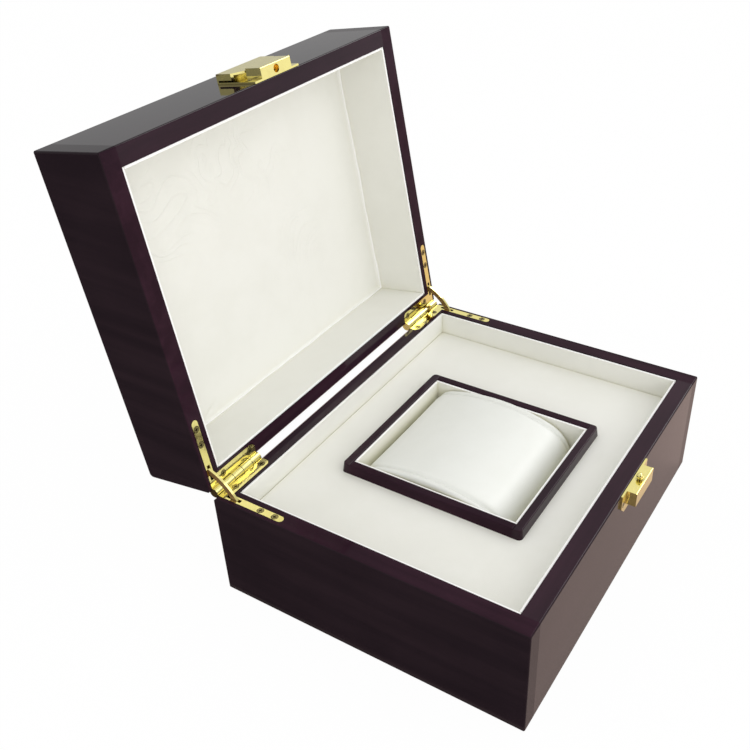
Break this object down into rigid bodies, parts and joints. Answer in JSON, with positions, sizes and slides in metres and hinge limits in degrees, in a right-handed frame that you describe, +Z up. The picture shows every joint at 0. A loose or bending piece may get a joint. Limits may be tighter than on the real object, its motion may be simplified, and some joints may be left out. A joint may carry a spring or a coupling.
{
  "type": "watch display box",
  "caption": "Lacquered wooden watch box with a hinged lid, cream lining, a framed well with a padded watch cushion, polished brass stay hinges and a snap clasp.",
  "frame": {"origin": "centre of the base's underside, on the felt", "axes": "+Z up, -Y towards the clasp at the front, +X to the right seen from the front; the hinges are along X at the rear"},
  "size_m": [0.2, 0.2284, 0.2212],
  "materials": {
    "lacquer": "high gloss lacquer",
    "lining": "ivory leatherette on board",
    "board": "raw fibreboard",
    "felt": "felt",
    "cushion_cover": "pearl satin leatherette",
    "foam": "soft foam",
    "brass": "polished gold plate"
  },
  "bodies": {
    "base": {"base_front_wall": "lacquer", "base_rear_wall": "lacquer", "base_left_wall": "lacquer", "base_right_wall": "lacquer", "base_bottom_panel": "lacquer", "frame_front": "lacquer", "frame_rear": "lacquer", "frame_left": "lacquer", "frame_right": "lacquer", "base_liner_front": "lining", "base_liner_rear": "lining", "base_liner_left": "lining", "base_liner_right": "lining", "deck_board": "lining", "well_wall_front": "lining", "well_wall_rear": "lining", "well_wall_left": "lining", "well_wall_right": "lining", "well_floor": "lining", "deck_support_left": "board", "deck_support_right": "board", "base_felt": "felt", "hinge_left_base_leaf": "brass", "hinge_left_base_screws": "brass", "hinge_left_pin": "brass", "hinge_right_base_leaf": "brass", "hinge_right_base_screws": "brass", "hinge_right_pin": "brass", "clasp_base_body": "brass", "clasp_stud": "brass", "clasp_base_screws": "brass"},
    "lid": {"lid_front_wall": "lacquer", "lid_rear_wall": "lacquer", "lid_left_wall": "lacquer", "lid_right_wall": "lacquer", "lid_top_panel": "lacquer", "lid_liner_front": "lining", "lid_liner_rear": "lining", "lid_liner_left": "lining", "lid_liner_right": "lining", "lid_pad": "lining", "hinge_left_lid_leaf": "brass", "hinge_left_lid_screws": "brass", "hinge_right_lid_leaf": "brass", "hinge_right_lid_screws": "brass", "clasp_lid_body": "brass", "clasp_hood": "brass", "clasp_spring": "brass", "clasp_lid_screws": "brass"},
    "stay_left": {"hinge_left_stay": "brass"},
    "stay_right": {"hinge_right_stay": "brass"},
    "cushion": {"cushion_sleeve": "cushion_cover", "cushion_end_left": "cushion_cover", "cushion_end_right": "cushion_cover", "cushion_core": "foam"}
  },
  "joints": [
    {"name": "lid_hinge", "type": "hinge", "parent": "base", "child": "lid", "pos_m": [0, 0.0798, 0.059], "axis": [1, 0, 0], "range_deg": [0, 99.2]},
    {"name": "stay_left_slide", "type": "hinge", "parent": "base", "child": "stay_left", "pos_m": [-0.0962, 0.0798, 0.059], "axis": [1, 0, 0], "range_deg": [0, 49.6]},
    {"name": "stay_right_slide", "type": "hinge", "parent": "base", "child": "stay_right", "pos_m": [0.0962, 0.0798, 0.059], "axis": [1, 0, 0], "range_deg": [0, 49.6]},
    {"name": "cushion_lift", "type": "slide", "parent": "base", "child": "cushion", "axis": [0, 0, 1], "range_m": [0, 0.03]}
  ],
  "couplings": [
    {"joint": "stay_left_slide", "follows": "lid_hinge", "ratio": 0.5},
    {"joint": "stay_right_slide", "follows": "lid_hinge", "ratio": 0.5}
  ]
}
